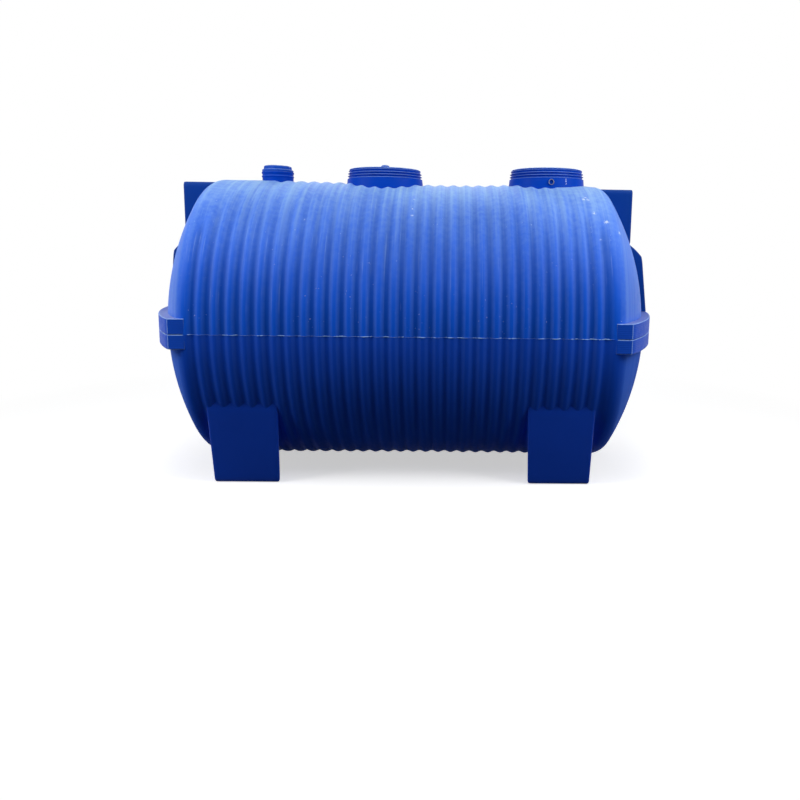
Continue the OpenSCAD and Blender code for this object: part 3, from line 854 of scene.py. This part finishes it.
# --- Manhole lids ---------------------------------------------------------
# Blue polyethylene lids with a low crown and a rounded shoulder; each drops
# into its neck and rests on the rim. The middle one has a small moulded knob.
lid_blue = polyethylene("lid_blue", (0.0065, 0.062, 0.42), (0.386, 0.58, 0.82), 0.5,
                        run=(3, 3, 60), streak=0.3, grain=0.12, rough=0.40)
for word in ("middle", "right"):
    x, r = neck_middle(f"{word}_lid")
    r -= 0.004
    base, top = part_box(f"{word}_neck")[1].z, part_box(f"{word}_lid")[1].z
    bore = neck_middle(f"{word}_neck")[1] - 0.0145
    rise = top - base
    outline = ([(bore - 0.007, base - 0.020), (bore - 0.001, base - 0.020), (bore, base - 0.018), (bore, base),
                (r - 0.001, base)] + [(r, base + 0.001)]
               + [(r - 0.022 * (1 - math.cos(a)), base + 0.0015 + (rise - 0.0025) * math.sin(a))
                  for a in np.linspace(0.05, math.pi / 2, 9)]
               + [(r - 0.030, top - 0.0016), (r - 0.034, top - 0.0006), (r - 0.055, top - 0.0004),
                  (r * 0.4, top - 0.0002), (0.030, top - 0.0001), (1e-5, top)])
    finish(lathe(f"{word}_cover", outline, n=128, x=x), lid_blue, "lid_blue", f"{word}_lid")

x = neck_middle("middle_lid")[0]
lo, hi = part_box("middle_knob")
kr, kh = hi.x - x, hi.z - lo.z
outline = ([(kr * 0.95, lo.z), (kr * 0.80, lo.z + kh * 0.14), (kr * 0.74, lo.z + kh * 0.32)]
           + arc(kr * 0.80, lo.z + kh * 0.64, kr * 0.19, -60, 60, 9)
           + [(kr * 0.70, hi.z - kh * 0.10), (kr * 0.45, hi.z - kh * 0.02), (1e-5, hi.z)])
finish(lathe("middle_grip", outline, n=48, x=x), lid_blue, "lid_blue", "middle_knob")

# --- Small neck and cap ---------------------------------------------------
# A 110 mm neck for a vent or a rod, moulded on the upper half, closed by a
# screw cap with grips round its side; the cap sits a little crooked.
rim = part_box("small_neck")[1].z
x, r = neck_middle("small_neck")
around = [2 * math.pi * k / 96 for k in range(96)]
bore, wall = r - 0.012, r - 0.0024
rows = [[(x + bore * math.cos(a), bore * math.sin(a), z) for a in around] for z in (rim - 0.03, rim)]
for z in np.linspace(rim, TOP_Z + 0.004, 40):
    band = max(abs(z - (rim - 0.020)) - 0.0015, 0) / 0.0016
    ridge = 0.0022 * math.exp(-band ** 2)
    lip = 0.0022 * math.exp(-(max(abs(z - (rim - 0.0045)) - 0.003, 0) / 0.0012) ** 2)
    out = wall + ridge + lip
    rows.append([(x + out * math.cos(a), out * math.sin(a), z) for a in around])
for s in (0.3, 0.6, 0.8, 0.9, 1.0, 1.3):
    ring = []
    for a in around:
        base = AXIS_Z + math.sqrt((SHELL_R - RIB_DEPTH) ** 2 - (r * math.sin(a)) ** 2) - 0.002
        z = TOP_Z + 0.004 + (base - TOP_Z - 0.004) * s
        out = wall + 0.002 * math.exp(-max(z - base, 0) / 0.005)
        ring.append((x + out * math.cos(a), out * math.sin(a), z - (0.012 if s > 1 else 0)))
    rows.append(ring)
finish(skin("vent_neck", rows, loop_rows=True, sharp=50), neck_blue, "neck_blue", "small_neck")

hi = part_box("small_cap")[1]
cr, ch = hi.x - x, hi.z - rim
n = 144
rows = []
outline = ([(cr - 0.0165, rim - 0.018), (cr - 0.0105, rim - 0.018), (cr - 0.0105, rim + 0.0003),
            (cr - 0.001, rim + 0.0003), (cr, rim + 0.002), (cr, rim + ch * 0.26),
            (cr - 0.0012, rim + ch * 0.33), (cr - 0.006, rim + ch * 0.40), (cr - 0.006, rim + ch * 0.55),
            (cr - 0.0065, rim + ch * 0.70)]
           + [(cr - 0.0065 - 0.010 * (1 - math.cos(a)), rim + ch * (0.72 + 0.24 * math.sin(a)))
              for a in np.linspace(0.15, math.pi / 2, 7)]
           + [(cr * 0.55, rim + ch * 0.975), (cr * 0.25, rim + ch * 0.985), (1e-5, rim + ch * 0.985)])
for r0, z in outline:
    ring = []
    for k in range(n):
        a = 2 * math.pi * k / n
        side_part = float(ease(np.array(z), rim + ch * 0.36, rim + ch * 0.46)) * (1 if r0 > cr * 0.6 else 0)
        lobes = 0.0018 * side_part * (0.5 - 0.5 * math.cos(12 * a))
        above = 1 if z > rim + 0.004 else 0      # the tilt and the lumps leave the seat alone
        tilt = 0.012 * math.cos(a) * r0 * above
        lump = 0.0006 * noise.noise(Vector((8 * math.cos(a), 8 * math.sin(a), z * 60))) * above
        rr = r0 - lobes
        ring.append((x + rr * math.cos(a), rr * math.sin(a), min(z - max(0.0, tilt) * 1.6 + lump, hi.z)))
    rows.append(ring)
finish(skin("screw_cap", rows, loop_rows=True, sharp=50), lid_blue, "lid_blue", "small_cap")

# --- Breather -------------------------------------------------------------
# A short plain tube of weathered steel through the wall of the right neck
# lets air in and out under the lid.
steel = bpy.data.materials.new("breather_steel")
steel.use_nodes = True
st = steel.node_tree
steel_body = st.nodes["Principled BSDF"]
steel_body.inputs["Metallic"].default_value = 0.5
steel_place = st.nodes.new("ShaderNodeTexCoord")
steel_spots = st.nodes.new("ShaderNodeTexNoise")
steel_spots.inputs["Scale"].default_value = 260
steel_spots.inputs["Detail"].default_value = 5
steel_tone = st.nodes.new("ShaderNodeValToRGB")
steel_tone.color_ramp.elements[0].position = 0.35
steel_tone.color_ramp.elements[0].color = (0.08, 0.09, 0.12, 1)
steel_tone.color_ramp.elements[1].position = 0.65
steel_tone.color_ramp.elements[1].color = (0.30, 0.32, 0.38, 1)
steel_rough = st.nodes.new("ShaderNodeMapRange")
steel_rough.inputs["To Min"].default_value = 0.28
steel_rough.inputs["To Max"].default_value = 0.55
steel_bump = st.nodes.new("ShaderNodeBump")
steel_bump.inputs["Strength"].default_value = 0.2
steel_bump.inputs["Distance"].default_value = 0.0003
st.links.new(steel_place.outputs["Object"], steel_spots.inputs["Vector"])
st.links.new(steel_spots.outputs["Fac"], steel_tone.inputs["Fac"])
st.links.new(steel_spots.outputs["Fac"], steel_rough.inputs["Value"])
st.links.new(steel_spots.outputs["Fac"], steel_bump.inputs["Height"])
st.links.new(steel_tone.outputs["Color"], steel_body.inputs["Base Color"])
st.links.new(steel_rough.outputs["Result"], steel_body.inputs["Roughness"])
st.links.new(steel_bump.outputs["Normal"], steel_body.inputs["Normal"])
lo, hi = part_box("breather")
tube_r, tube_bore = (hi.x - lo.x) / 2, 0.0088
near, far = -hi.y, -lo.y
outline = ([(tube_bore, near), (tube_r - 0.0005, near), (tube_r - 0.0005, far - 0.0025)]
           + arc(tube_r - 0.0025, far - 0.0025, 0.0020, 0, 90) + [(tube_bore + 0.0025, far - 0.0005)]
           + arc(tube_bore + 0.002, far - 0.0025, 0.0020, 90, 180))
tube = lathe("breather_tube", outline, n=48, x=(lo.x + hi.x) / 2, z=(lo.z + hi.z) / 2, axis="y", closed=True)
for v in tube.data.vertices:             # the mouth is cut at a slant and faces the outlet end
    if v.co.y < lo.y + 0.006:
        v.co.y += 0.0028 * (1 + (v.co.x - (lo.x + hi.x) / 2) / tube_r)
finish(tube, steel, "breather_metal", "breather")

# --- Weld flash -----------------------------------------------------------
# Pale scraps of plastic squeezed out of the weld on the seam, thin and
# broken, along both sides of the barrel.
flash_pale = polyethylene("flash_pale", (0.20, 0.40, 0.85), (0.52, 0.74, 0.95), 0.6,
                          streak=0.2, grain=0.2, rough=0.55)


def shell_line(x):
    """Radius of the ribbed barrel at a place along the axis."""
    t = (x - RIB_MID) / RIB_PITCH + RIB_COUNT / 2
    return SHELL_R - (rib_dip((t % 1.0 - 0.5) * 2) if 0 <= t <= RIB_COUNT else float(band_dip(x)))


for word, face in (("front", -1), ("rear", 1)):
    rows = []
    for x in np.arange(-BARREL_END + 0.004, BARREL_END - 0.003, 0.0026):
        here = (noise.noise(Vector((x * 34, face * 4.0, 0.3)))
                + 0.6 * noise.noise(Vector((x * 130, face * 9.0, 2.0))))
        size = float(ease(np.array(here), -0.05, 0.50))
        out = 0.0001 + 0.0013 * size
        tall = 0.0002 + 0.0016 * size
        r = shell_line(x) - 0.0012
        z = AXIS_Z + 0.0010 * noise.noise(Vector((x * 60, 3.0, face)))
        rows.append([(x, face * r, z - tall), (x, face * (r + 0.0012 + out * 0.7), z - tall * 0.7),
                     (x, face * (r + 0.0012 + out), z), (x, face * (r + 0.0012 + out * 0.7), z + tall * 0.7),
                     (x, face * r, z + tall)])
    finish(skin(f"{word}_weld_flash", rows, loop_rows=True, close_ends=True), flash_pale, "shell_blue")
